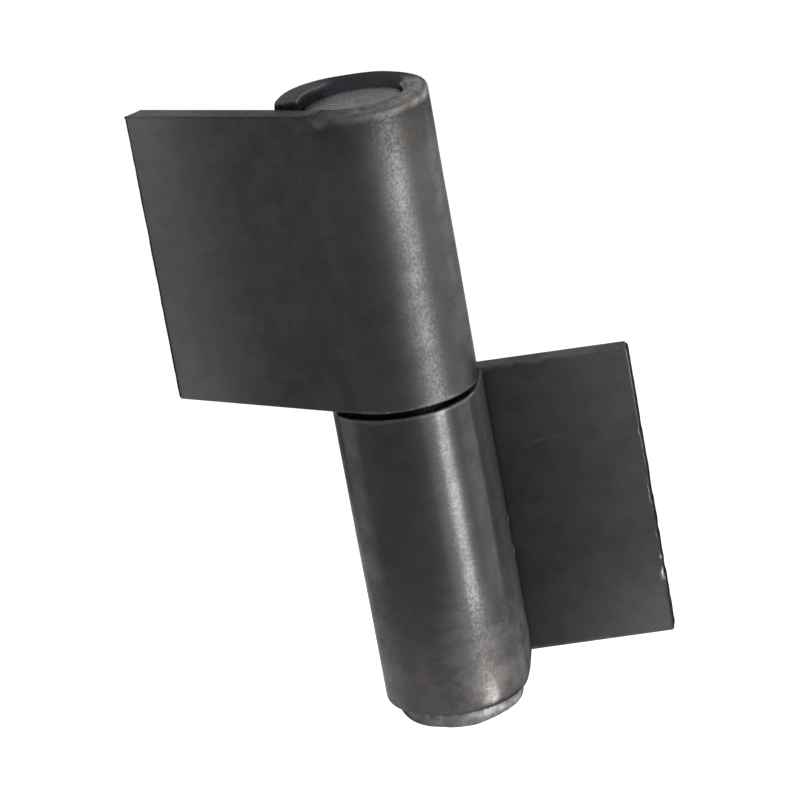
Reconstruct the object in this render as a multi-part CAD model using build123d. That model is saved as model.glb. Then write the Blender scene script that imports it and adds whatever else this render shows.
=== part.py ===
from build123d import *
import os
from math import cos, radians, sin, tan

# Weld-on lift-off hinge of the rolled, flag-shaped kind. Each leaf is one length of hot-rolled
# strip: a flat plate whose end is rolled round into a knuckle, so that the plate leaves the
# knuckle at a tangent. The lower leaf holds a headed pin that stands up into the upper leaf.
# The upper leaf is closed by a plug, hangs from a ball on the pin's end, and lifts straight off.
#
# Sizes are in millimetres. Z is the pin's axis, and the origin lies on it, half way between the
# two knuckles. X points out along the lower leaf, and Y out of that leaf's back, its welded face.

# Strip and leaves
STRIP_THICKNESS = 4.0
BORE_DIAMETER = 16.0  # inside the rolled knuckles
LEAF_REACH = 37.0  # from the pin's axis to a leaf's free edge
UPPER_LEAF_HEIGHT = 48.8
LOWER_LEAF_HEIGHT = 50.4
KNUCKLE_GAP = 1.5
REST_SWING = 33.0  # degrees that the upper leaf is turned back from lying flat open
LOWER_UNBENT_FROM = -4.0  # degrees round from X where the roll stops and the strip's end runs on straight
UPPER_UNBENT_FROM = 20.0
SEAM_GAP = 0.15  # between the strip's end and the leaf that it comes round to
CORNER_ROUND = 1.0  # a leaf's free corners, seen square on
EDGE_BREAK = 0.4  # bevel all round each leaf's sheared edges

# Pin
RUNNING_CLEARANCE = 0.08  # on the radius, between the pin and the upper knuckle
HEAD_DIAMETER = 21.0
HEAD_THICKNESS = 4.4
HEAD_ROUND = 2.5  # lower rim of the head
PIN_LEAD = 1.5  # chamfer that guides the upper leaf on to the pin

# Plug and ball in the upper knuckle
PLUG_THICKNESS = 5.0
PLUG_RECESS = 1.2  # from the knuckle's top rim down to the plug
PLUG_CHAMFER = 0.4
BALL_DIAMETER = 8.0
BALL_CLEARANCE = 0.05  # all round, in each of its two seats
SEAT_ANGLE = 90.0  # full angle of the drilled cones that hold the ball
SEAT_LIP = 0.4  # how far each cone's mouth stands outside the circle that the ball touches

# Worked out from the sizes above
bore_radius = BORE_DIAMETER / 2
knuckle_radius = bore_radius + STRIP_THICKNESS
upper_bottom = KNUCKLE_GAP / 2
upper_top = upper_bottom + UPPER_LEAF_HEIGHT
lower_top = -KNUCKLE_GAP / 2
lower_bottom = lower_top - LOWER_LEAF_HEIGHT
plug_top = upper_top - PLUG_RECESS
plug_bottom = plug_top - PLUG_THICKNESS

seat_half_angle = radians(SEAT_ANGLE / 2)
seat_radius = BALL_DIAMETER / 2 * cos(seat_half_angle) + SEAT_LIP
seat_depth = seat_radius / tan(seat_half_angle)
apex_to_ball = (BALL_DIAMETER / 2 + BALL_CLEARANCE) / sin(seat_half_angle)
ball_height = plug_bottom + seat_depth - apex_to_ball
pin_top = ball_height - apex_to_ball + seat_depth


def rolled_plan(unbent_from):
    """A leaf seen from above: plate out along X, back on the +Y side, rolled once round Z."""
    roll = 270 + unbent_from
    outside = CenterArc((0, 0), knuckle_radius, 90, roll)
    inside = CenterArc((0, 0), bore_radius, 90, roll)
    # The strip's last few millimetres stay straight, up to the leaf's inner face.
    run_x, run_y = -sin(radians(unbent_from)), cos(radians(unbent_from))
    nearest = bore_radius - SEAM_GAP
    outer_y = nearest - max(0, STRIP_THICKNESS * run_x)
    run = (outer_y - (outside @ 1).Y) / run_y
    outer_corner = outside @ 1 + (run * run_x, run * run_y)
    inner_corner = inside @ 1 + (run * run_x, run * run_y)
    outline = [
        outside,
        Line(outside @ 1, outer_corner),
        Line(outer_corner, inner_corner),
        Line(inner_corner, inside @ 1),
        inside,
        Line(inside @ 0, (LEAF_REACH, bore_radius)),
        Line((LEAF_REACH, bore_radius), (LEAF_REACH, knuckle_radius)),
        Line((LEAF_REACH, knuckle_radius), outside @ 0),
    ]
    return make_face(outline)


def rolled_leaf(height, unbent_from):
    """One leaf, standing on the XY plane, with its free corners rounded and its edges broken."""
    leaf = extrude(rolled_plan(unbent_from), height)
    free_end = leaf.faces().sort_by(Axis.X)[-1]
    leaf = fillet(free_end.edges().filter_by(Axis.Y), CORNER_ROUND)
    # Both rims run on at a tangent from the free end, so a bevel on its two edges goes all round.
    free_edges = leaf.edges().filter_by(Axis.Z).sort_by(Axis.X)[-2:]
    return chamfer(free_edges, EDGE_BREAK)


def turned(profile):
    """A piece turned about the pin's axis from its half profile, given as (radius, height)."""
    face = make_face(Polyline(*profile, close=True))
    return revolve(Plane.XZ * face, Axis.Z)


def headed_pin():
    """Headed pin: tight in the lower knuckle, running in the upper one, cone in its end."""
    head_radius = HEAD_DIAMETER / 2
    running_radius = bore_radius - RUNNING_CLEARANCE
    pin = turned([
        (0, lower_bottom - HEAD_THICKNESS),
        (head_radius, lower_bottom - HEAD_THICKNESS),
        (head_radius, lower_bottom),
        (bore_radius, lower_bottom),
        (bore_radius, lower_top),
        (running_radius, lower_top),
        (running_radius, pin_top - PIN_LEAD),
        (running_radius - PIN_LEAD, pin_top),
        (seat_radius, pin_top),
        (0, pin_top - seat_depth),
    ])
    rim = pin.edges().filter_by(GeomType.CIRCLE).sort_by(Axis.Z)[0]
    return fillet(rim, HEAD_ROUND)


def top_plug():
    """Disc pressed into the upper knuckle below its rim, with the ball's cone underneath."""
    return turned([
        (0, plug_bottom + seat_depth),
        (seat_radius, plug_bottom),
        (bore_radius - PLUG_CHAMFER, plug_bottom),
        (bore_radius, plug_bottom + PLUG_CHAMFER),
        (bore_radius, plug_top - PLUG_CHAMFER),
        (bore_radius - PLUG_CHAMFER, plug_top),
        (0, plug_top),
    ])


lower_leaf = rolled_leaf(LOWER_LEAF_HEIGHT, LOWER_UNBENT_FROM)
upper_leaf = rolled_leaf(UPPER_LEAF_HEIGHT, UPPER_UNBENT_FROM)
pieces = {
    "leaf_lower": Pos(0, 0, lower_bottom) * lower_leaf,
    "leaf_upper": Pos(0, 0, upper_bottom) * Rot(0, 0, 180 - REST_SWING) * upper_leaf,
    "hinge_pin": headed_pin(),
    "top_plug": top_plug(),
    "thrust_ball": Pos(0, 0, ball_height) * Sphere(BALL_DIAMETER / 2),
}

os.makedirs("parts", exist_ok=True)
for name, piece in pieces.items():
    export_step(piece, f"parts/{name}.step")
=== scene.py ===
import math

import bpy
import numpy as np
from mathutils import Matrix, Vector, noise


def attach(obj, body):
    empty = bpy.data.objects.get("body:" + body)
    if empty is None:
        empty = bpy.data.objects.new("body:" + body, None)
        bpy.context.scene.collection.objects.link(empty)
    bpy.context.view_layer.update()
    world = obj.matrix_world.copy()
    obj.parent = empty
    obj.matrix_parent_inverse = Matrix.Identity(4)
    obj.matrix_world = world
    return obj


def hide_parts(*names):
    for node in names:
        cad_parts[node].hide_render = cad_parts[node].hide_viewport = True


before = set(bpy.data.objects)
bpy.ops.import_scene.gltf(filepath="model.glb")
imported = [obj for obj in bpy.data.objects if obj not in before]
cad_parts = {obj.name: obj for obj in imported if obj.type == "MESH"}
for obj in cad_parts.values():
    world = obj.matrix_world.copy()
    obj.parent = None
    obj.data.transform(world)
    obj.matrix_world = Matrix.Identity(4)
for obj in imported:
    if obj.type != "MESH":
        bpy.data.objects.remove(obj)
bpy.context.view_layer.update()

# The two leaves. Each is a length of hot-rolled steel strip, cropped to length, with one end
# rolled round into a knuckle. The mill's black scale is left on. The strip's own edges make the
# top and bottom rims, and its cropped ends make the free edge and the seam down the knuckle.

MM = 0.001
STRIP_THICKNESS = 4.0 * MM
BORE_RADIUS = 8.0 * MM
KNUCKLE_RADIUS = BORE_RADIUS + STRIP_THICKNESS
NEUTRAL_RADIUS = BORE_RADIUS + STRIP_THICKNESS / 2
SEAM_GAP = 0.15 * MM
MILL_EDGE = 0.45 * MM  # the rounding that rolling leaves on the strip's edges
EDGE_TURNS = (45, 34, 22.5, 11)  # degrees round an edge at which a grid line lies
GRID_STEPS = (0.5 * MM, 0.3 * MM, 0.55 * MM)  # along the strip, through it and up it
CROP_REACH = 3.5 * MM  # from a cropped end, as far as the shear has moved the steel
CROP_FADE = 0.9 * MM


class Wire:
    """An output of a node. Arithmetic on a wire adds the Math node that does it."""

    def __init__(self, node, output=0):
        self.node = node
        self.output = output

    def __getitem__(self, output):
        return Wire(self.node, output)

    def __add__(self, other):
        return calc("ADD", self, other)

    def __sub__(self, other):
        return calc("SUBTRACT", self, other)

    def __rsub__(self, other):
        return calc("SUBTRACT", other, self)

    def __mul__(self, other):
        return calc("MULTIPLY", self, other)

    def __truediv__(self, other):
        return calc("DIVIDE", self, other)

    def __rtruediv__(self, other):
        return calc("DIVIDE", other, self)


def connect(node, inputs):
    """Sets a node's inputs, or links them to wires; they are given by name or by number."""
    for name, value in inputs.items():
        if isinstance(value, Wire):
            node.id_data.links.new(value.node.outputs[value.output], node.inputs[name])
        else:
            node.inputs[name].default_value = value


def put(tree, kind, inputs=None, **settings):
    """Adds a node to a tree, and gives the wire from its first output."""
    made = tree.nodes.new(kind)
    for name, value in settings.items():
        setattr(made, name, value)
    connect(made, inputs or {})
    return Wire(made)


def tree_of(*values):
    """The node tree that wires among these values are in."""
    return next(value.node.id_data for value in values if isinstance(value, Wire))


def calc(operation, *values):
    """One step of arithmetic on wires and numbers."""
    return put(tree_of(*values), "ShaderNodeMath", dict(enumerate(values)), operation=operation)


def clamped(wire):
    """Keeps the result of a step of arithmetic between 0 and 1."""
    wire.node.use_clamp = True
    return wire


def between(value, low, high, to_low=0.0, to_high=1.0):
    """Stretches a wire from low..high to to_low..to_high, smoothly and clamped."""
    ends = {"From Min": low, "From Max": high, "To Min": to_low, "To Max": to_high}
    inputs = {"Value": value, **ends}
    return put(tree_of(value), "ShaderNodeMapRange", inputs, interpolation_type="SMOOTHSTEP")


def new_tree(name, kind, inputs, outputs):
    """A node group with named inputs and outputs: its tree, its inputs' wires, its last node."""
    tree = bpy.data.node_groups.new(name, kind)
    for label, socket, value in inputs:
        made = tree.interface.new_socket(label, in_out="INPUT", socket_type="NodeSocket" + socket)
        if value is not None:
            made.default_value = value
    for label, socket in outputs:
        tree.interface.new_socket(label, in_out="OUTPUT", socket_type="NodeSocket" + socket)
    return tree, Wire(tree.nodes.new("NodeGroupInput")), tree.nodes.new("NodeGroupOutput")


def rising(value, start, stop):
    """Goes smoothly from 0 at start to 1 at stop."""
    x = np.clip((value - start) / (stop - start), 0, 1)
    return x * x * (3 - 2 * x)


def falling(value, start, stop):
    """Goes smoothly from 1 at start to 0 at stop."""
    return 1 - rising(value, start, stop)


def hump(value, centre, width):
    """Is 1 at the centre and fades away on both sides of it."""
    return np.exp(-((value - centre) / width) ** 2)


def rough(points, scale, seed):
    """Smooth noise from -1 to 1 at each point; scale is in bumps per metre."""
    shift = Vector((seed * 7.13, seed * 3.71, seed * 1.97))
    return np.array([noise.noise(Vector(p) * scale + shift) for p in points])


def grid_lines(size, step):
    """Places for grid lines across a side: fanned round each edge, then evenly apart."""
    fan = [MILL_EDGE * (1 - math.tan(math.radians(turn))) for turn in EDGE_TURNS]
    near = [MILL_EDGE * (1 + ease) for ease in (0.0, 0.3, 0.7)]
    inner = fan + near
    count = max(2, round((size - 2 * inner[-1]) / step))
    middle = np.linspace(inner[-1], size - inner[-1], count + 1)[1:-1]
    return np.array(inner + list(middle) + [size - place for place in reversed(inner)])


def blank_mesh(length, height):
    """Faces and places of a flat strip: X along it, Y through it from the inner face, Z up it."""
    sizes = np.array((length, STRIP_THICKNESS, height))
    lines = [grid_lines(size, step) for size, step in zip(sizes, GRID_STEPS)]
    counts = [len(one) for one in lines]
    corners = []
    for axis in range(3):
        side_a, side_b = (axis + 1) % 3, (axis + 2) % 3
        cells = np.arange(counts[side_a] - 1), np.arange(counts[side_b] - 1)
        a, b = np.meshgrid(*cells, indexing="ij")
        for end in (0, counts[axis] - 1):
            quad = np.zeros((a.size, 4, 3), dtype=int)
            quad[:, :, axis] = end
            for corner, (step_a, step_b) in enumerate(((0, 0), (1, 0), (1, 1), (0, 1))):
                quad[:, corner, side_a] = a.ravel() + step_a
                quad[:, corner, side_b] = b.ravel() + step_b
            corners.append(quad if end else quad[:, ::-1])
    quads = np.concatenate(corners)
    keys = np.ravel_multi_index(np.moveaxis(quads, 2, 0), counts)
    used, faces = np.unique(keys, return_inverse=True)
    index = np.unravel_index(used, counts)
    places = np.stack([line[at] for line, at in zip(lines, index)], 1)
    core = np.clip(places, MILL_EDGE, sizes - MILL_EDGE)
    away = places - core
    places = core + away / np.linalg.norm(away, axis=1, keepdims=True) * MILL_EDGE
    return places, faces.reshape(-1, 4)


def round_corner(places, height, radius, top, end=None):
    """Rounds a corner of the blank's free edge, or of its rolled end, seen square on."""
    from_end = places[:, 0] if end is None else end - places[:, 0]
    u = radius - from_end
    v = places[:, 2] - (height - radius) if top else radius - places[:, 2]
    inside = (u > 0) & (v > 0)
    scale = np.maximum(u, v)[inside] / np.hypot(u, v)[inside]
    rounded = radius - u[inside] * scale
    places[inside, 0] = rounded if end is None else end - rounded
    moved = v[inside] * scale
    places[inside, 2] = height - radius + moved if top else radius - moved


def angle_round(places, plate):
    """How far round the roll each point of the blank comes to be, in degrees."""
    return np.degrees((places[:, 0] - plate) / NEUTRAL_RADIUS)


def edge_distance(places, length, height):
    """How far each point of the blank is from the nearest of its twelve edges."""
    sizes = np.array((length, STRIP_THICKNESS, height))
    return np.sort(np.minimum(places, sizes - places), axis=1)[:, 1]


def crop_ends(places, length, seed, chips):
    """Gives both cropped ends the shear's look: a smooth zone, then a torn one that falls back."""
    for end, sign in ((0.0, 1.0), (length, -1.0)):
        near = np.abs(places[:, 0] - end) < CROP_REACH
        there = places[near]
        weight = np.exp(-np.abs(there[:, 0] - end) / CROP_FADE)
        through = there[:, 1] / STRIP_THICKNESS
        if sign > 0:
            through = 1 - through
        torn = rising(through, 0.3, 0.65)
        pitted = rough(there * (1, 1, 0.6), 1400, seed) * 0.10
        pitted += rough(there, 3300, seed + 1) * 0.06
        flat = there * (0, 0, 1)
        ragged = rough(flat, 210, seed + 2) * 0.09 + rough(flat, 620, seed + 3) * 0.10
        bite = np.clip(rough(flat + (0, 0, 0.3), 330, seed + 4) - 0.25, 0, 1)
        depth = torn * (0.16 + pitted) + ragged * 0.6 + bite * chips * (0.3 + through)
        places[near, 0] += sign * depth * weight * MM


def trim_rims(places, height, plate, top, bottom):
    """Moves the rims up or down, in mm: by one amount at the free edge, another at the knuckle."""
    toward = np.clip(1 - places[:, 0] / plate, 0, 1)
    share = places[:, 2] / height
    places[:, 2] += share * (top[1] + (top[0] - top[1]) * toward) * MM
    places[:, 2] += (1 - share) * (bottom[1] + (bottom[0] - bottom[1]) * toward) * MM


def slant_edge(places, height, plate, top, bottom):
    """Moves the free edge along the strip, in mm: by one amount at its top, another at its foot."""
    toward = np.clip(1 - places[:, 0] / plate, 0, 1)
    share = places[:, 2] / height
    places[:, 0] += toward * (share * top + (1 - share) * bottom) * MM


def wear_rim(places, height, radius, outer):
    """Rounds the top rim's outer or inner edge over, by a radius given at each point."""
    radius = np.maximum(radius, 0.05 * MM)
    u = places[:, 1] - (STRIP_THICKNESS - radius) if outer else radius - places[:, 1]
    v = places[:, 2] - (height - radius)
    inside = (u > 0) & (v > 0)
    u, v, radius = u[inside], v[inside], radius[inside]
    scale = radius / np.hypot(u, v)
    places[inside, 1] = STRIP_THICKNESS - radius + u * scale if outer else radius - u * scale
    places[inside, 2] = height - radius + v * scale


def darken_ends(painted, places, length, amount):
    """Makes the edges of the cropped ends dark and matt, as torn steel is."""
    at_end = np.minimum(places[:, 0], length - places[:, 0])
    torn = falling(at_end, 0.3 * MM, 0.8 * MM)
    painted["tone"] = painted["tone"] * (1 - amount * torn)
    painted["dulled"] = np.maximum(painted["dulled"], 2.0 * torn)


def mesh_object(name, places, faces):
    """A smooth-shaded mesh object from arrays of points and faces."""
    mesh = bpy.data.meshes.new(name)
    mesh.from_pydata(places.tolist(), [], [list(map(int, face)) for face in faces])
    mesh.shade_smooth()
    made = bpy.data.objects.new(name, mesh)
    bpy.context.scene.collection.objects.link(made)
    return made


def give(made, name, values):
    """Stores a number or a vector at each of a mesh's points, for its material to read."""
    values = np.asarray(values, dtype=np.float32)
    kind = "FLOAT_VECTOR" if values.ndim == 2 else "FLOAT"
    layer = made.data.attributes.new(name, kind, "POINT")
    layer.data.foreach_set("vector" if values.ndim == 2 else "value", values.ravel())


# Rolling the blank: what was along the strip goes round the pin, and the rest stays straight.
rolling, given, rolled = new_tree(
    "Rolled leaf",
    "GeometryNodeTree",
    (
        ("Blank", "Geometry", None),
        ("Plate Width", "Float", 0.037),
        ("Bore Radius", "Float", BORE_RADIUS),
        ("Strip Thickness", "Float", STRIP_THICKNESS),
        ("Leaf Height", "Float", 0.05),
        ("Bottom Rim", "Float", 0.0),
        ("Roll Angle", "Float", 4.7),
        ("Leaf Angle", "Float", 0.0),
        ("Top Rise", "Float", 0.0),
        ("Rise From", "Float", 0.0),
        ("Rise To", "Float", 1.0),
        ("Bottom Drop", "Float", 0.0),
        ("Drop Fades Over", "Float", 0.0085),
        ("Foot Swell", "Float", 0.0),
        ("Lean", "Float", 0.0),
        ("Unevenness", "Float", 0.0),
        ("Wave Length", "Float", 0.012),
        ("Seed", "Float", 1.0),
        ("Finish", "Material", None),
    ),
    (("Leaf", "Geometry"),),
)
flat = put(rolling, "ShaderNodeSeparateXYZ", {0: put(rolling, "GeometryNodeInputPosition")})
neutral = given["Bore Radius"] + given["Strip Thickness"] * 0.5
past_plate = flat["X"] - given["Plate Width"]
turned = calc("MINIMUM", calc("MAXIMUM", past_plate / neutral, 0.0), given["Roll Angle"])
end_part = calc("MAXIMUM", past_plate - given["Roll Angle"] * neutral, 0.0)
straight = calc("MINIMUM", past_plate, 0.0) + end_part
waves = put(
    rolling,
    "ShaderNodeTexNoise",
    {"W": given["Seed"], "Scale": 1.0 / given["Wave Length"], "Detail": 2.0, "Roughness": 0.55},
    noise_dimensions="4D",
)
outer_share = flat["Y"] / given["Strip Thickness"]
through = (waves - 0.5) * given["Unevenness"] * outer_share + flat["Y"]
up_share = flat["Z"] / given["Leaf Height"]
down_share = 1.0 - up_share
swell = clamped(turned * 0.55) * given["Foot Swell"]
radius = given["Bore Radius"] + through + swell * down_share
bearing = turned + math.pi / 2
cosine, sine = calc("COSINE", bearing), calc("SINE", bearing)
rise = between(turned, given["Rise From"], given["Rise To"], 0.0, given["Top Rise"])
drop = between(turned, 0.0, given["Roll Angle"], 0.0, given["Bottom Drop"])
drop = drop * clamped(1.0 - end_part / given["Drop Fades Over"])
place = {
    "X": radius * cosine - straight * sine + down_share * given["Lean"],
    "Y": radius * sine + straight * cosine,
    "Z": flat["Z"] + rise * up_share - drop * down_share + given["Bottom Rim"],
}
place = put(rolling, "ShaderNodeCombineXYZ", place)
turn = {"Vector": place, "Angle": given["Leaf Angle"]}
swung = put(rolling, "ShaderNodeVectorRotate", turn, rotation_type="Z_AXIS")
shaped = put(rolling, "GeometryNodeSetPosition", {"Geometry": given["Blank"], "Position": swung})
real = put(rolling, "GeometryNodeRealizeInstances", {"Geometry": shaped})
coat = {"Geometry": real, "Material": given["Finish"]}
connect(rolled, {"Leaf": put(rolling, "GeometryNodeSetMaterial", coat)})


def cloud(place, scale, detail, roughness, seed, stretch=(1, 1, 1)):
    """A noise from 0 to 1 over a place, stretched by axis; seed picks another one."""
    tree = tree_of(place)
    moved = put(tree, "ShaderNodeMapping", {"Vector": place, "Scale": stretch})
    inputs = {"Vector": moved, "Scale": scale, "Detail": detail, "Roughness": roughness, "W": seed}
    return put(tree, "ShaderNodeTexNoise", inputs, noise_dimensions="4D")


def mix(factor, first, second, blend="MIX"):
    """Mixes two colours."""
    inputs = {0: factor, 6: first, 7: second}
    tree = tree_of(factor, first, second)
    return put(tree, "ShaderNodeMix", inputs, data_type="RGBA", blend_type=blend)[2]


def shaded(colour, tone):
    """A colour made lighter or darker by a number."""
    grey = put(tree_of(tone), "ShaderNodeCombineColor", {0: tone, 1: tone, 2: tone})
    return mix(1.0, colour, grey, "MULTIPLY")


# Mill scale: blue-black oxide in patches, with rolling lines along the strip and fine grit.
scale_group, given, coated = new_tree(
    "Mill scale",
    "ShaderNodeTree",
    (
        ("Place", "Vector", None),
        ("Scale Colour", "Color", (0.035, 0.034, 0.034, 1)),
        ("Cool Colour", "Color", (0.035, 0.036, 0.042, 1)),
        ("Warm Colour", "Color", (0.05, 0.042, 0.034, 1)),
        ("Patch Size", "Float", 9.0),
        ("Grit Size", "Float", 0.35),
        ("Smooth", "Float", 0.28),
        ("Rough", "Float", 0.5),
    ),
    (("Color", "Color"), ("Roughness", "Float"), ("Glaze", "Float"), ("Height", "Float")),
)
place = given["Place"]
patch_scale = 1.0 / given["Patch Size"]
grit_scale = 1.0 / given["Grit Size"]
cool = between(cloud(place, patch_scale, 4, 0.6, 3.1), 0.45, 0.68)
warm = between(cloud(place, patch_scale, 5, 0.65, 8.4), 0.52, 0.72)
rolled_lines = cloud(place, 1.0, 3, 0.6, 1.7, (0.05, 1.2, 1.2))
grit = cloud(place, grit_scale, 3, 0.6, 5.5, (1.05, 1.05, 0.72))
specks = put(scale_group, "ShaderNodeTexVoronoi", {"Vector": place, "Scale": grit_scale * 0.55})
blotches = cloud(place, patch_scale * 3.5, 4, 0.6, 2.2)
colour = mix(cool, given["Scale Colour"], given["Cool Colour"])
colour = mix(warm * 0.7, colour, given["Warm Colour"])
tone = between(rolled_lines, 0.3, 0.7, 0.96, 1.04) + between(blotches, 0.3, 0.7, -0.05, 0.05)
tone = tone + between(grit, 0.3, 0.7, -0.08, 0.08)
dull = between(blotches * 0.25 + grit * 0.75, 0.40, 0.60)
roughness = (given["Rough"] - given["Smooth"]) * dull + given["Smooth"]
height = grit * 0.55 + blotches * 0.5 + rolled_lines * 0.12
height = height + between(specks, 0.0, 0.35, -0.25, 0.0)
glaze = (1.0 - dull) * 0.7 + 0.35
colour = shaded(colour, tone)
connect(coated, {"Color": colour, "Roughness": roughness, "Glaze": glaze, "Height": height})

# Rubbed edge: where handling has worn the scale off the rims, in a broken line.
rub_group, given, rubbed = new_tree(
    "Rubbed edge",
    "ShaderNodeTree",
    (
        ("Place", "Vector", None),
        ("Distance", "Float", 0.0),
        ("Reach", "Float", 0.8),
        ("Patch Size", "Float", 2.5),
        ("Amount", "Float", 0.5),
    ),
    (("Mask", "Float"),),
)
near = clamped(1.0 - given["Distance"] / given["Reach"])
broken = cloud(given["Place"], 1.0 / given["Patch Size"], 5, 0.7, 4.4)
worn = near * 0.6 + broken - (1.1 - given["Amount"])
connect(rubbed, {"Mask": between(worn, 0.0, 0.22) * between(near, 0.0, 0.25)})


def vector(operation, *values):
    """One step of vector arithmetic on wires."""
    inputs = dict(enumerate(values))
    return put(tree_of(*values), "ShaderNodeVectorMath", inputs, operation=operation)


# Scratch: one thin line drawn across a face, between two places on the strip.
scratch_group, given, scratched = new_tree(
    "Scratch",
    "ShaderNodeTree",
    (
        ("Place", "Vector", None),
        ("Start", "Vector", (0, 0, 0)),
        ("End", "Vector", (10, 0, 0)),
        ("Width", "Float", 0.15),
    ),
    (("Mask", "Float"),),
)
run = vector("SUBTRACT", given["End"], given["Start"])
offset = vector("SUBTRACT", given["Place"], given["Start"])
share = vector("DOT_PRODUCT", offset, run)["Value"] / vector("DOT_PRODUCT", run, run)["Value"]
share = clamped(share)
nearest = put(scratch_group, "ShaderNodeVectorMath", {0: run, "Scale": share}, operation="SCALE")
gap = vector("DISTANCE", offset, nearest)["Value"]
line = between(gap / given["Width"], 0.2, 1.0, 1.0, 0.0)
taper = between((1.0 - share) * share, 0.0, 0.16)
wobble = between(cloud(given["Place"], 0.6, 3, 0.6, 6.1), 0.35, 0.6)
connect(scratched, {"Mask": line * taper * wobble})


def group(tree, used, **inputs):
    """Places a shader group in a material; an underscore in a name stands for a space."""
    named = {name.replace("_", " "): value for name, value in inputs.items()}
    return put(tree, "ShaderNodeGroup", named, node_tree=used)


def steel(name):
    """A material with a bare metal shader; gives the material, its tree and its shader."""
    made = bpy.data.materials.new(name)
    made.use_nodes = True
    shader = made.node_tree.nodes["Principled BSDF"]
    shader.inputs["Metallic"].default_value = 1.0
    return made, made.node_tree, shader


def attribute(tree, name, output="Fac"):
    """Reads what a mesh carries at its points."""
    return put(tree, "ShaderNodeAttribute", attribute_name=name)[output]


def tinted(colours, tint):
    """The Mill scale group's three colours, made lighter or darker together."""
    names = ("Scale_Colour", "Cool_Colour", "Warm_Colour")
    toned = (tuple(channel * tint for channel in colour) + (1,) for colour in colours)
    return dict(zip(names, toned))


def bumped(height, strength, distance):
    """Normals that follow a height."""
    inputs = {"Strength": strength, "Distance": distance, "Height": height}
    return put(tree_of(height), "ShaderNodeBump", inputs)


LEAF_SCALE = ((0.0181, 0.0173, 0.0170), (0.0174, 0.0172, 0.0186), (0.0218, 0.0192, 0.0171))
CLEARED_STEEL = (0.205, 0.196, 0.190, 1)
WORN_RIM = (0.055, 0.049, 0.043, 1)
BRIGHT_RIM = (0.20, 0.19, 0.175, 1)
TORN_END = (0.012, 0.011, 0.011, 1)
# Painted shade, bluish dark, for the inner face of the upper knuckle's mouth.
MOUTH_SHADE_COLOUR = (0.030, 0.029, 0.037, 1)
SCRATCHED_STEEL = (0.12, 0.115, 0.11, 1)
RIM_WEAR = 0.26  # how much of the rims is rubbed, from 0 to 1
MEAN_GLAZE = 0.7  # of the Mill scale group's Glaze


def leaf_finish(name, tint, smoothest, roughest, glaze, glaze_roughness, streak, grain, scratches):
    """Mill scale on a leaf: toned by area with painted light and shade, shaded in the mouth, dulled
    by area, rubbed at the rims, and scratched.

    The glaze breaks up by the share grain where the knuckle shines, streak mm along the strip.
    """
    made, tree, shader = steel(name)
    place = attribute(tree, "strip_place", "Vector")
    labels = ("edge_distance", "cropped_end", "in_mouth", "tone", "dulled", "mottled", "handled")
    distance, end, mouth_shade_share, tone, dulled, mottled, handled = (
        attribute(tree, label) for label in labels
    )
    scale = group(
        tree, scale_group, Place=place, Patch_Size=9.0, Grit_Size=0.42,
        Smooth=smoothest, Rough=roughest, **tinted(LEAF_SCALE, tint),
    )
    mottle = between(cloud(place, 0.42, 5, 0.62, 5.9), 0.34, 0.66, -0.25, 0.25)
    # The tone attribute carries painted light and shade, with darker torn ends; the mottle is the
    # scale's own.
    colour = shaded(scale["Color"], tone * (mottle * mottled + 1.0))
    patchy = between(cloud(place, 0.55, 5, 0.65, 6.6), 0.36, 0.6)
    at_rim = {"Place": place, "Distance": distance}
    rub = handled * 0.2 + RIM_WEAR
    rim = group(tree, rub_group, **at_rim, Reach=1.3, Patch_Size=2.6, Amount=rub)
    bright = group(tree, rub_group, **at_rim, Reach=0.5, Patch_Size=1.3, Amount=rub - 0.2)
    torn = between(cloud(place, 1.6, 4, 0.7, 9.2), 0.3, 0.6)
    coverings = [
        (clamped(handled * (patchy * 0.6 + 0.4)), CLEARED_STEEL),
        (rim["Mask"] * 0.6, WORN_RIM),
        (end * torn, TORN_END),
        (bright["Mask"] * 0.6, BRIGHT_RIM),
        (mouth_shade_share * 0.9, MOUTH_SHADE_COLOUR),
    ]
    for start, stop, width, strength in scratches:
        mark = group(tree, scratch_group, Place=place, Start=start, End=stop, Width=width)
        coverings.append((mark["Mask"] * strength, SCRATCHED_STEEL))
    for share, covering in coverings:
        colour = mix(share, colour, covering)
    along = put(tree, "ShaderNodeSeparateXYZ", {0: place})["X"]
    off_streak = calc("ABSOLUTE", along - streak)
    spread = between(off_streak, 1.5, 6.0, grain, 0.25) + mottled
    uneven = between(cloud(place, 0.3, 4, 0.6, 1.3), 0.35, 0.65, 0.82, 1.18)
    coat = ((scale["Glaze"] - MEAN_GLAZE) * spread + MEAN_GLAZE) * uneven
    open_part = (1.0 - mouth_shade_share * 0.9) * clamped(1.0 - dulled * 0.75)
    relief = scale["Height"] * (mottled * 0.5 + 0.5)
    connect(shader, {
        "Base Color": colour,
        "Roughness": dulled * 0.11 + scale["Roughness"],
        "Specular Tint": (0.35, 0.35, 0.35, 1),
        "Coat Weight": coat * (open_part * glaze),
        "Coat Roughness": glaze_roughness,
        "Normal": bumped(relief, 0.45, 0.04 * MM),
    })
    return made


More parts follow.
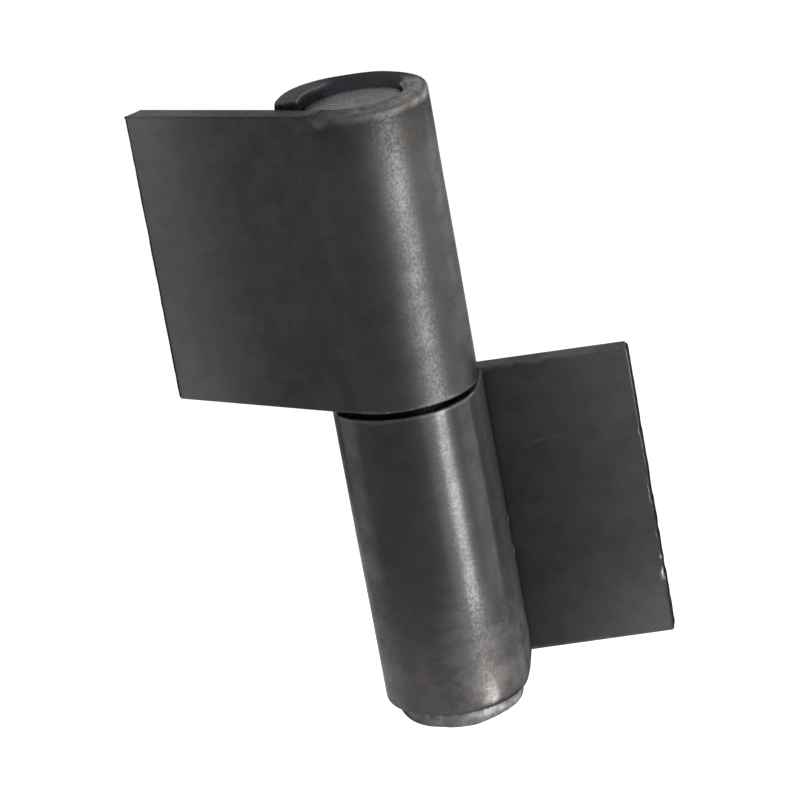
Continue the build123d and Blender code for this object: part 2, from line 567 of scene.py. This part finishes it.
def rolled_leaf(name, places, faces, length, height, painted, **settings):
    """Rolls a blank that carries its painted values, and gives the plain mesh."""
    blank = mesh_object(name + "_blank", places, faces)
    at_end = np.minimum(places[:, 0], length - places[:, 0])
    carried = {
        "strip_place": places / MM,
        "edge_distance": edge_distance(places, length, height) / MM,
        **painted,
        "cropped_end": falling(at_end, 0.3 * MM, 0.65 * MM),
    }
    for label, values in carried.items():
        give(blank, label, values)
    modifier = blank.modifiers.new("Rolling", "NODES")
    modifier.node_group = rolling
    settings["Leaf_Height"] = height
    for item in rolling.interface.items_tree:
        if item.in_out == "INPUT" and item.name.replace(" ", "_") in settings:
            modifier[item.identifier] = settings[item.name.replace(" ", "_")]
    scene_graph = bpy.context.evaluated_depsgraph_get()
    mesh = bpy.data.meshes.new_from_object(blank.evaluated_get(scene_graph))
    bpy.data.objects.remove(blank)
    mesh.name = name
    made = bpy.data.objects.new(name, mesh)
    bpy.context.scene.collection.objects.link(made)
    return made


def strip_length(plate, unbent):
    """Length of strip in a leaf, up to where its end meets the plate's inner face."""
    tilt = math.radians(unbent)
    end_height = BORE_RADIUS - SEAM_GAP - max(0, -STRIP_THICKNESS * math.sin(tilt))
    end_run = (end_height - KNUCKLE_RADIUS * math.sin(tilt)) / math.cos(tilt)
    return plate + math.radians(270 + unbent) * NEUTRAL_RADIUS + end_run


# Lower leaf: its end stands nearly square on the plate, and its foot runs down as it goes round.
LOWER_HEIGHT = 50.4 * MM
LOWER_BOTTOM = -51.15 * MM
LOWER_PLATE = 36.8 * MM
LOWER_UNBENT = -4.0
LOWER_ROLL = 270 + LOWER_UNBENT
LOWER_DROP = 1.5 * MM
LOWER_LEAN = 0.5 * MM


def low_side(turned):
    """The extra drop of the lower knuckle's bottom rim on its side away from the leaf."""
    return 0.3 * MM * hump(turned, 100, 32)


def seat_drop(turned):
    """How far the lower knuckle's bottom rim has come down, from its angle round the roll."""
    turned = np.mod(turned, 360)
    going_down = rising(turned, 0, LOWER_ROLL)
    going_up = (360 - turned) / (360 - LOWER_ROLL)
    drop = np.where(turned < LOWER_ROLL, going_down, going_up) * LOWER_DROP
    return drop + 0.3 * low_side(turned)


lower_length = strip_length(LOWER_PLATE, LOWER_UNBENT)
places, faces = blank_mesh(lower_length, LOWER_HEIGHT)
round_corner(places, LOWER_HEIGHT, 0.8 * MM, top=True)
round_corner(places, LOWER_HEIGHT, 0.5 * MM, top=False)
# Hammering the pin home has rolled the foot of the knuckle over.
turned_to = angle_round(places, LOWER_PLATE)
foot_round = 0.3 + 2.0 * rising(turned_to, 150, 240) * (1 - 0.8 * rising(turned_to, 258, 288))
foot_round *= MM
into_round = np.clip(foot_round - places[:, 2], 0, foot_round)
tuck = foot_round - np.sqrt(foot_round ** 2 - into_round ** 2)
tuck *= 0.33 * rising(turned_to, -11, 34)
tuck += 0.2 * MM * falling(places[:, 2], 0, 5 * MM) * rising(turned_to, 200, 250)
places[:, 1] -= tuck * places[:, 1] / STRIP_THICKNESS
trim_rims(places, LOWER_HEIGHT, LOWER_PLATE, top=(-0.1, 0.2), bottom=(-0.3, -0.25))
places[:, 2] -= low_side(turned_to) * (1 - places[:, 2] / LOWER_HEIGHT)
slant_edge(places, LOWER_HEIGHT, LOWER_PLATE, top=0.25, bottom=0.0)
crop_ends(places, lower_length, seed=11, chips=1.0)

along, height = places[:, 0] / MM, places[:, 2] / MM
up_leaf = places[:, 2] / LOWER_HEIGHT
past_roll = turned_to - LOWER_ROLL
on_knuckle = rising(turned_to, -30, 55)
away_side = falling(turned_to, 110, 150)
# Painted light and shade: the plate is lighter towards its free edge and its foot,
# and the knuckle towards its foot.
plate_light_and_shade = 1.95 - 1.5 * rising(along, -4, 24)
plate_light_and_shade *= 1 + 0.9 * falling(up_leaf, 0, 0.35) + 0.2 * rising(up_leaf, 0.6, 1)
knuckle_light_and_shade = 1.1 + 2.7 * falling(up_leaf, 0, 0.55) - 0.15 * rising(up_leaf, 0.55, 0.95)
# The strip's straight end is matt and carries painted light, and so does a band of the knuckle
# just before it.
tail = rising(past_roll, -26, -2) * falling(past_roll, 22, 62)
knuckle_light_and_shade += (1.6 - 0.9 * falling(up_leaf, 0, 0.5)) * tail
knuckle_light_and_shade *= 1 + (0.3 + 0.25 * rising(up_leaf, 0.5, 0.9)) * hump(turned_to, 251, 7)
# On its away side the knuckle has painted light low down and painted shade high up.
by_height = 0.4 * falling(up_leaf, 0, 0.4) - 0.5 * rising(up_leaf, 0.55, 0.9)
knuckle_light_and_shade *= 1 + away_side * by_height
# Below a ragged line the knuckle is matt and mottled.
ragged = rough(places * (1, 1, 0.4), 260, 41) * 0.05 + rough(places * (1, 1, 0.5), 900, 42) * 0.03
dulled = 1.05 * on_knuckle * falling(up_leaf - ragged, 0.23, 0.47)
dulled *= 0.45 + 0.55 * rising(turned_to, 150, 190)
mottled = np.clip(dulled, 0, 1)
dulled += 0.8 * away_side * on_knuckle * rising(up_leaf, 0.45, 0.85)
dulled = np.maximum(dulled, 2.3 * tail)
# Knocks and rubbing have cleared the scale from one part of the foot, but not close to the pin.
crevice = falling(height, 0.21, 0.81) * rising(turned_to, 165, 215)
handled = 1.15 * falling(np.abs(turned_to - 209.5), 0, 10) * falling(height, 1.26, 4.86)
handled -= 1.2 * (1 - on_knuckle) + 0.8 * rising(past_roll, 0, 10) + 1.5 * crevice
# Painted shade: the knuckle is darker in the crevice just above the head, and a little darker low
# down from 200 degrees round the roll.
knuckle_light_and_shade *= 1 - 0.75 * crevice
knuckle_light_and_shade *= 1 - 0.14 * falling(up_leaf, 0, 0.2) * rising(turned_to, 190, 210)
# Chips, where the torn edges have been knocked, in mm.
for along_at, through_at, up_at, size in (
    (0.4, 0.2, 10.0, (0.7, 0.7, 1.2)),
    (0.3, 0.2, 13.2, (0.5, 0.5, 0.6)),
    (lower_length / MM - 0.9, 3.9, 24.5, (0.8, 0.9, 0.6)),
    (lower_length / MM - 0.9, 3.9, 18.7, (0.8, 0.9, 0.9)),
):
    off_chip = np.linalg.norm((places / MM - (along_at, through_at, up_at)) / size, axis=1)
    handled = np.maximum(handled, 1.2 * falling(off_chip, 0.6, 1.1))
painted = {
    "tone": plate_light_and_shade + (knuckle_light_and_shade - plate_light_and_shade) * on_knuckle,
    "dulled": dulled,
    "mottled": mottled,
    "handled": handled,
    "in_mouth": np.zeros(len(places)),
}
darken_ends(painted, places, lower_length, amount=0.6)
lower_steel = leaf_finish(
    "Lower leaf mill scale", tint=0.85, smoothest=0.40, roughest=0.52,
    glaze=0.50, glaze_roughness=0.22, streak=72.8, grain=0.35,
    scratches=(
        ((19.7, 0, 36.5), (9.2, 0, 37.6), 0.4, 0.07),
        ((21.0, 0, 36.0), (13.0, 0, 37.1), 0.3, 0.05),
    ),
)
lower = rolled_leaf(
    "lower_leaf_rolled", places, faces, lower_length, LOWER_HEIGHT, painted, Finish=lower_steel,
    Plate_Width=LOWER_PLATE, Bottom_Rim=LOWER_BOTTOM, Roll_Angle=math.radians(LOWER_ROLL),
    Top_Rise=0.15 * MM, Rise_From=math.radians(90), Rise_To=math.radians(200),
    Bottom_Drop=LOWER_DROP, Drop_Fades_Over=8.5 * MM, Foot_Swell=0.12 * MM, Lean=LOWER_LEAN,
    Unevenness=0.16 * MM, Wave_Length=14 * MM, Seed=3.0,
)
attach(lower, "lower_half")
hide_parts("leaf_lower")

# Upper leaf: its end stops further round, its top rim climbs, and its mouth is opened at the back.
UPPER_HEIGHT = 48.8 * MM
UPPER_BOTTOM = 0.75 * MM
UPPER_PLATE = 37.3 * MM
UPPER_UNBENT = 22.0
UPPER_ANGLE = math.radians(147)
UPPER_RISE = 0.9 * MM
MOUTH_DEPTH = 3.0 * MM

upper_length = strip_length(UPPER_PLATE, UPPER_UNBENT)
places, faces = blank_mesh(upper_length, UPPER_HEIGHT)
round_corner(places, UPPER_HEIGHT, 0.4 * MM, top=True)
round_corner(places, UPPER_HEIGHT, 0.5 * MM, top=False)
round_corner(places, UPPER_HEIGHT, 1.3 * MM, top=True, end=upper_length)
# The mouth: near the rim the inner face leans out, most of all on the half away from the plate.
turned_to = angle_round(places, UPPER_PLATE)
high = places[:, 2] > UPPER_HEIGHT - MOUTH_DEPTH
opened = rising(turned_to[high], 138, 173) * falling(turned_to[high], 228, 258)
near_rim = (places[high, 2] - (UPPER_HEIGHT - MOUTH_DEPTH)) / MOUTH_DEPTH
inner_share = 1 - places[high, 1] / STRIP_THICKNESS
# Painted shade: the opened mouth's inner face near the rim is marked to take a bluish dark colour
# and lose its glaze.
in_mouth = np.zeros(len(places))
in_mouth[high] = opened * rising(near_rim, 0, 1 / 3) * rising(inner_share, 0.15, 0.45)
leaning = (0.3 + 2.4 * opened) * MM * near_rim ** 0.7 * inner_share
places[high, 1] += leaning * (turned_to[high] > -30)
# The rim is rubbed round most at the front and on the right.
rubbed_side = rising(turned_to, -10, 60) * falling(turned_to, 170, 220)
front = rising(turned_to, -25, 15) * falling(turned_to, 75, 115)
outer_wear = 0.4 + 0.7 * rubbed_side + 0.5 * front - 0.6 * rising(turned_to, 110, 150)
wear_rim(places, UPPER_HEIGHT, outer_wear * MM, outer=True)
wear_rim(places, UPPER_HEIGHT, (0.3 + 0.5 * rubbed_side) * MM, outer=False)
trim_rims(places, UPPER_HEIGHT, UPPER_PLATE, top=(0.0, 0.35), bottom=(0.1, -0.25))
places[:, 2] -= 0.13 * MM * hump(turned_to, 222, 20) * places[:, 2] / UPPER_HEIGHT
slant_edge(places, UPPER_HEIGHT, UPPER_PLATE, top=0.0, bottom=-0.15)
crop_ends(places, upper_length, seed=29, chips=0.5)

along, height = places[:, 0] / MM, places[:, 2] / MM
up_leaf = places[:, 2] / UPPER_HEIGHT
on_knuckle = rising(turned_to, -10, 10)
at_rim = rising(height, 46.5, 48)
ring_face = rising(height, 48.2, 48.7)
# Painted light and shade: the plate is lighter towards its free edge, and there towards its top
# and its foot too. It is a little darker low down beside the knuckle.
plate_light_and_shade = 3.1 - 2.22 * rising(along, -4, 26)
plate_light_and_shade *= 1 - 0.15 * falling(up_leaf, 0, 0.4) * rising(along, 18, 26)
plate_light_and_shade *= 1 + 0.3 * (2 * up_leaf - 1) ** 2 * falling(along, 4, 18)
# The knuckle has painted light towards its top. The strip's end beside the mouth keeps its
# scale, with painted shade at its side and painted light on its top face.
knuckle_light_and_shade = 1.0 + 0.3 * rising(up_leaf, 0.35, 0.85)
knuckle_light_and_shade *= 1 - rising(turned_to, 205, 235) * (0.4 * at_rim - 2.2 * ring_face)
# The right of the top rim is rubbed bright, with a spot below it where the knuckle begins.
handled = (0.7 + 0.6 * rising(turned_to, 60, 120)) * rubbed_side * rising(height, 47.2, 48.8)
handled -= 0.5 * rising(turned_to, 215, 235) * at_rim + 1.2 * (1 - on_knuckle)
handled += 0.55 * falling(np.hypot((along - 37.4) / 3.2, (height - 48.0) / 1.5), 0, 1)
dulled = on_knuckle * (0.55 * rising(up_leaf, 0.78, 0.9) + 0.3 * rising(up_leaf, 0.9, 0.96))
painted = {
    "tone": plate_light_and_shade + (knuckle_light_and_shade - plate_light_and_shade) * on_knuckle,
    "dulled": dulled,
    "mottled": 0.6 * dulled,
    "handled": handled,
    "in_mouth": in_mouth,
}
darken_ends(painted, places, upper_length, amount=0.1)
upper_steel = leaf_finish(
    "Upper leaf mill scale", tint=1.0, smoothest=0.42, roughest=0.54,
    glaze=0.48, glaze_roughness=0.38, streak=47.4, grain=0.6,
    scratches=(((30, 4, 12), (21, 4, 14.5), 0.3, 0.04),),
)
upper = rolled_leaf(
    "upper_leaf_rolled", places, faces, upper_length, UPPER_HEIGHT, painted, Finish=upper_steel,
    Plate_Width=UPPER_PLATE, Bottom_Rim=UPPER_BOTTOM, Roll_Angle=math.radians(270 + UPPER_UNBENT),
    Leaf_Angle=UPPER_ANGLE, Top_Rise=UPPER_RISE, Rise_From=math.radians(100),
    Rise_To=math.radians(290), Foot_Swell=0.3 * MM, Unevenness=0.2 * MM, Wave_Length=12 * MM,
    Seed=8.0,
)
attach(upper, "upper_half")
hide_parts("leaf_upper")

# The pin: blackened round bar with a domed head, driven up into the lower knuckle. Its upper
# half is bare and rubbed where the upper leaf turns on it, and a drilled cone holds the ball.

PIN_TOP = 38.352 * MM
SEAT_RADIUS = 3.228 * MM
HEAD_RADIUS = 10.45 * MM
HEAD_BOTTOM = -56.22 * MM
HEAD_TOP = LOWER_BOTTOM
HEAD_EDGE = 2.9 * MM
HEAD_BREAK = 0.4 * MM
SHANK_RADIUS = 7.92 * MM
FITTED_RADIUS = 7.97 * MM
FITTED_TOP = -0.75 * MM


def turned_mesh(profile, around=144):
    """A piece turned about the pin's axis from (radius, height) points, poles closed."""
    profile = np.array(profile)
    rings = profile[profile[:, 0] > 0]
    angles = np.linspace(0, 2 * math.pi, around, endpoint=False)
    places = np.concatenate([
        np.stack((radius * np.cos(angles), radius * np.sin(angles), np.full(around, height)), 1)
        for radius, height in rings
    ] + [[[0, 0, profile[0][1]], [0, 0, profile[-1][1]]]])
    last = (len(rings) - 1) * around
    low_pole, high_pole = last + around, last + around + 1
    faces = []
    for step in range(around):
        other = (step + 1) % around
        faces.append((low_pole, other, step))
        for ring in range(0, last, around):
            above = ring + around
            faces.append((ring + step, ring + other, above + other, above + step))
        faces.append((high_pole, last + step, last + other))
    return places, faces


def eased(points, step):
    """Fills a profile with points no further apart than step, and rounds nothing."""
    filled = [points[0]]
    for start, stop in zip(points, points[1:]):
        count = max(1, math.ceil(math.dist(start, stop) / step))
        across = np.subtract(stop, start)
        filled += [tuple(np.add(start, across * part / count)) for part in range(1, count + 1)]
    return filled


def arc(centre, radius, start, stop, count):
    """Points on a profile's rounded corner, from start to stop degrees."""
    turns = np.radians(np.linspace(start, stop, count))
    return [
        (centre[0] + radius * math.cos(turn), centre[1] + radius * math.sin(turn))
        for turn in turns
    ]


head = [
    (0, HEAD_BOTTOM - 0.2 * MM),
    (3 * MM, HEAD_BOTTOM - 0.15 * MM),
    (6 * MM, HEAD_BOTTOM),
    *arc((HEAD_RADIUS - HEAD_EDGE, HEAD_BOTTOM + HEAD_EDGE), HEAD_EDGE, -84, -4, 12),
    (HEAD_RADIUS, HEAD_TOP - HEAD_BREAK - 0.1 * MM),
    *arc((HEAD_RADIUS - HEAD_BREAK, HEAD_TOP - HEAD_BREAK), HEAD_BREAK, 0, 90, 4),
]
shank = [
    (FITTED_RADIUS, HEAD_TOP),
    (FITTED_RADIUS, FITTED_TOP),
    (SHANK_RADIUS, FITTED_TOP),
    (SHANK_RADIUS, PIN_TOP - 1.7 * MM),
    (SHANK_RADIUS - 0.08 * MM, PIN_TOP - 1.5 * MM),
    (SHANK_RADIUS - 1.35 * MM, PIN_TOP - 0.12 * MM),
    (SHANK_RADIUS - 1.6 * MM, PIN_TOP),
    (SEAT_RADIUS + 0.15 * MM, PIN_TOP),
    (SEAT_RADIUS, PIN_TOP - 0.1 * MM),
    (0.6 * MM, PIN_TOP - SEAT_RADIUS + 0.5 * MM),
    (0, PIN_TOP - SEAT_RADIUS + 0.3 * MM),
]
places, faces = turned_mesh(eased(head + shank, 0.9 * MM))
spread = np.hypot(places[:, 0], places[:, 1])
below_shank = places[:, 2] < HEAD_TOP + 0.01 * MM
head_share = np.clip((places[:, 2] - HEAD_BOTTOM) / (HEAD_TOP - HEAD_BOTTOM), 0, 1) * below_shank
outer = rising(spread, 7.9 * MM, 8.1 * MM)
# The head is driven home against the foot of the knuckle, which runs down as it goes round.
around_roll = np.degrees(np.arctan2(places[:, 1], places[:, 0])) - 90
places[:, 2] -= seat_drop(around_roll) * head_share * outer * 0.95
# It is as it came off the hammer: not quite round, and bruised underneath.
in_head = np.clip((HEAD_TOP - places[:, 2]) / (1.5 * MM), 0, 1)
lumps = rough(places, 130, 5) * 0.16 + rough(places, 420, 6) * 0.10
places[:, :2] *= (1 + in_head * lumps * MM / np.maximum(spread, 2 * MM))[:, None]
underneath = np.clip((-54 * MM - places[:, 2]) / MM, 0, 1)
dents = rough(places, 260, 7) * 0.14 + rough(places, 700, 8) * 0.07
places[:, 2] += in_head * underneath * dents * MM
# Below the gap the pin leans with the lower knuckle that it is driven into.
places[:, 0] += LOWER_LEAN * np.clip(-places[:, 2] / LOWER_HEIGHT, 0, 1.1)
pin = mesh_object("headed_pin_turned", places, faces)
# Painted shade: the head is darker on the side away from the lower leaf, and close under
# the knuckle.
away = rising(-places[:, 0] / MM, 2.5, 8.5)
under = rising(head_share, 0.6, 0.9) * outer
give(pin, "tone", (1.08 - 0.5 * away) * (1 - 0.5 * under))

BAR_SCALE = ((0.060, 0.058, 0.057), (0.063, 0.063, 0.066), (0.083, 0.073, 0.065))
RUBBED_DARK = (0.20, 0.193, 0.186, 1)
RUBBED_LIGHT = (0.34, 0.33, 0.32, 1)
BARE_EDGE = 0.6  # mm that a bare part takes to begin and to end


def in_millimetres(tree, level=0.0):
    """Object coordinates in millimetres, with heights taken from a level."""
    metres = put(tree, "ShaderNodeTexCoord")["Object"]
    inputs = {"Vector": metres, "Scale": (1000, 1000, 1000), "Location": (0, 0, -level)}
    return put(tree, "ShaderNodeMapping", inputs)


def turned_finish(name, tint, smoothest, roughest, bruised, grazing, depth, bare=None):
    """Blackened turned steel, bruised or not; between two heights it is bare and rubbed bright."""
    made, tree, shader = steel(name)
    place = in_millimetres(tree)
    scale = group(
        tree, scale_group, Place=place, Patch_Size=4.0, Grit_Size=0.4,
        Smooth=smoothest, Rough=roughest, **tinted(BAR_SCALE, tint),
    )
    rings = cloud(place, 1.0, 3, 0.7, 3.3, (0.02, 0.02, 5.0))
    bruises = between(cloud(place, 0.6, 4, 0.6, 8.8), 0.36, 0.64, 0.75, 1.4)
    colour = mix(bruised, scale["Color"], shaded(scale["Color"], bruises))
    # The tone attribute paints light and shade onto the colour.
    colour = shaded(colour, attribute(tree, "tone"))
    roughness, relief = scale["Roughness"], scale["Height"]
    if bare:
        up = put(tree, "ShaderNodeSeparateXYZ", {0: place})["Z"]
        begun = between(up, bare[0] - BARE_EDGE, bare[0] + BARE_EDGE)
        unended = between(up, bare[1] - BARE_EDGE, bare[1] + BARE_EDGE, 1.0, 0.0)
        patchy = between(cloud(place, 0.22, 5, 0.6, 7.7, (1, 1, 0.4)), 0.38, 0.6)
        rubbed_part = begun * unended * (patchy * 0.6 + 0.4)
        silver = mix(between(rings, 0.35, 0.65), RUBBED_DARK, RUBBED_LIGHT)
        colour = mix(rubbed_part, colour, silver)
        ground = between(rings, 0.3, 0.7, 0.24, 0.36)
        roughness = (ground - roughness) * rubbed_part + roughness
        relief = relief * (1.0 - rubbed_part * 0.7)
    connect(shader, {
        "Base Color": colour,
        "Roughness": roughness,
        "Specular Tint": (grazing, grazing, grazing, 1),
        "Normal": bumped(rings * 0.5 + relief, 0.5, depth),
    })
    return made


pin.data.materials.append(turned_finish(
    "Blackened pin", tint=1.95, smoothest=0.50, roughest=0.68, bruised=1.0, grazing=0.4,
    depth=0.07 * MM, bare=(0.0, 37.0),
))
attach(pin, "lower_half")
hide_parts("hinge_pin")

# The plug: a turned steel disc pressed into the upper knuckle just below its rim, which keeps
# the weather off the ball and bears on it through a drilled cone.

PLUG_TOP = 48.85 * MM
PLUG_BOTTOM = 43.35 * MM
PLUG_RADIUS = 7.99 * MM
PLUG_EDGE = 0.45 * MM
profile = [
    (0, PLUG_BOTTOM + SEAT_RADIUS - 0.3 * MM),
    (0.6 * MM, PLUG_BOTTOM + SEAT_RADIUS - 0.5 * MM),
    (SEAT_RADIUS, PLUG_BOTTOM + 0.1 * MM),
    (SEAT_RADIUS + 0.15 * MM, PLUG_BOTTOM),
    (PLUG_RADIUS - 0.5 * MM, PLUG_BOTTOM),
    (PLUG_RADIUS, PLUG_BOTTOM + 0.5 * MM),
    *arc((PLUG_RADIUS - PLUG_EDGE, PLUG_TOP - 0.5 * MM), PLUG_EDGE, 0, 80, 5),
    (PLUG_RADIUS - 1.6 * MM, PLUG_TOP),
    (4.5 * MM, PLUG_TOP - 0.06 * MM),
    (0, PLUG_TOP - 0.1 * MM),
]
places, faces = turned_mesh(eased(profile, 0.7 * MM))
top_side = np.clip((places[:, 2] - PLUG_BOTTOM - 4 * MM) / MM, 0, 1)
places[:, 2] += top_side * (rough(places, 190, 12) * 0.07 + rough(places, 650, 13) * 0.03) * MM
plug = mesh_object("top_plug_turned", places, faces)
# Painted shade: the plug is a little darker towards its rim, where it meets the knuckle.
give(plug, "tone", 1 - 0.12 * rising(np.hypot(places[:, 0], places[:, 1]) / MM, 6.5, 7.7))
plug.data.materials.append(turned_finish(
    "Blackened plug", tint=0.88, smoothest=0.3, roughest=0.52, bruised=0.15, grazing=1.0,
    depth=0.035 * MM,
))
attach(plug, "upper_half")
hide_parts("top_plug")

# The ball: ground bearing steel, greased, which sits in the pin's cone and carries the upper
# leaf. It is loose in its two seats, which have worn a bright ring each into its polish.

BALL_CENTRE = 40.851 * MM
BALL_RADIUS = 4.0 * MM
SEAT_RING = 2.83  # mm from the ball's middle level to the circle on which a seat bears
POLISHED = (0.30, 0.30, 0.31, 1)
POLISHED_LIGHT = (0.38, 0.38, 0.39, 1)
GREASE = (0.13, 0.11, 0.085, 1)
BRIGHT_RING = (0.46, 0.46, 0.47, 1)
ball_side = [
    (0, BALL_CENTRE - BALL_RADIUS),
    *arc((0, BALL_CENTRE), BALL_RADIUS, -87.5, 87.5, 71),
    (0, BALL_CENTRE + BALL_RADIUS),
]
ball = mesh_object("ball_ground", *turned_mesh(ball_side, around=96))
polished, tree, shader = steel("Polished ball")
place = in_millimetres(tree, level=BALL_CENTRE / MM)
up = put(tree, "ShaderNodeSeparateXYZ", {0: place})["Z"]
off_ring = calc("ABSOLUTE", calc("ABSOLUTE", up) - SEAT_RING)
ring = between(off_ring, 0.08, 0.34, 1.0, 0.0)
smear = between(cloud(place, 0.5, 5, 0.65, 2.9, (1, 1, 0.5)), 0.45, 0.65)
hairlines = cloud(place, 1.0, 2, 0.6, 4.2, (0.6, 0.6, 9.0))
colour = mix(between(hairlines, 0.35, 0.65), POLISHED, POLISHED_LIGHT)
colour = mix(smear * 0.6, colour, GREASE)
connect(shader, {
    "Base Color": mix(ring, colour, BRIGHT_RING),
    "Roughness": ring * 0.1 + (smear * 0.14 + 0.2),
    "Normal": bumped(hairlines, 0.15, 0.01 * MM),
})
ball.data.materials.append(polished)
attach(ball, "ball")
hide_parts("thrust_ball")

# The floor: a wide white sweep well below the hinge, which shows white, in metal too, where no
# shadow falls on it. The world is the same white, and dimmer as a light.

FLOOR_HEIGHT = -0.30
FLOOR_REACH = 4
FLOOR_GLOW = 0.78
corners = [(x * FLOOR_REACH, y * FLOOR_REACH) for x, y in ((-1, -1), (1, -1), (1, 1), (-1, 1))]
floor = mesh_object("floor", np.array([(x, y, FLOOR_HEIGHT) for x, y in corners]), [(0, 1, 2, 3)])
white = bpy.data.materials.new("White floor")
white.use_nodes = True
tree = white.node_tree
tree.nodes.clear()


def seen_as_white(tree):
    """1 for rays that come from the camera, or from it by way of metal or glass."""
    ray = put(tree, "ShaderNodeLightPath")
    seen = calc("MAXIMUM", ray["Is Camera Ray"], ray["Is Glossy Ray"])
    return calc("MAXIMUM", seen, ray["Is Transmission Ray"])


paint = put(tree, "ShaderNodeBsdfDiffuse", {"Color": (0.5, 0.5, 0.5, 1)})
glow = put(tree, "ShaderNodeEmission", {"Strength": seen_as_white(tree) * FLOOR_GLOW})
both = put(tree, "ShaderNodeAddShader", {0: paint, 1: glow})
put(tree, "ShaderNodeOutputMaterial", {"Surface": both})
floor.data.materials.append(white)

scene = bpy.context.scene
world = bpy.data.worlds.new("White studio")
scene.world = world
world.use_nodes = True
brightness = seen_as_white(world.node_tree) * 0.5 + 0.5
connect(world.node_tree.nodes["Background"], {"Color": (1, 1, 1, 1), "Strength": brightness})

# The lamps: a tall narrow one at the front right, which draws the bright line down the knuckles,
# with a dimmer one beside it that softens the line, one on the right, one on the left, two
# behind, and one above.


def lamp(name, place, aim, width, tall, radiance):
    """A rectangular lamp of a given radiance, out of the camera's sight."""
    light = bpy.data.lights.new(name, "AREA")
    light.shape = "RECTANGLE"
    light.size = width
    light.size_y = tall
    light.energy = radiance * width * tall * math.pi
    made = bpy.data.objects.new(name, light)
    facing = (Vector(aim) - Vector(place)).to_track_quat("-Z", "Y").to_matrix().to_4x4()
    made.matrix_world = Matrix.Translation(place) @ facing
    made.visible_camera = False
    scene.collection.objects.link(made)


lamp("Key strip", (0.455, -0.341, -0.08), (0, 0, -0.01), 0.165, 0.42, 26.0)
lamp("Key glow", (0.318, -0.471, -0.08), (0, 0, -0.01), 0.2, 0.42, 2.6)
lamp("Right fill", (0.58, 0.22, -0.02), (0, 0, 0), 0.6, 0.54, 2.4)
lamp("Left fill", (-0.70, 0.24, -0.09), (0, 0, -0.02), 0.5, 0.4, 2.1)
lamp("Back left", (-0.45, 0.55, 0.15), (0, 0, 0), 0.12, 0.5, 5.0)
lamp("Back right", (0.5, 0.5, 0.1), (0, 0, 0), 0.3, 0.5, 3.5)
lamp("Top", (0.0, 0.1, 0.7), (0, 0, 0), 0.5, 0.5, 1.0)

# The camera, where the photograph was taken from: a long lens a little above, and tilted over.

AZIMUTH = math.radians(5.156)
ELEVATION = math.radians(18.663)
TILT = math.radians(10.038)
DISTANCE = 569.727 * MM
AIM_RIGHT = -0.933 * MM
AIM_UP = -1.346 * MM
right = Vector((math.cos(AZIMUTH), math.sin(AZIMUTH), 0))
level_back = Vector((math.sin(AZIMUTH), -math.cos(AZIMUTH), 0))
back = level_back * math.cos(ELEVATION) + Vector((0, 0, math.sin(ELEVATION)))
lens_up = back.cross(right)
side = right * math.cos(TILT) - lens_up * math.sin(TILT)
upright = right * math.sin(TILT) + lens_up * math.cos(TILT)
eye = right * AIM_RIGHT + Vector((0, 0, AIM_UP)) + back * DISTANCE
camera_data = bpy.data.cameras.new("Camera")
camera_data.lens = 158.58
camera_data.sensor_width = 36.0
camera_data.clip_start = 0.01
camera_data.clip_end = 50
camera = bpy.data.objects.new("Camera", camera_data)
camera.matrix_world = Matrix.Translation(eye) @ Matrix((side, upright, back)).transposed().to_4x4()
scene.collection.objects.link(camera)
scene.camera = camera
scene.view_settings.view_transform = "Standard"
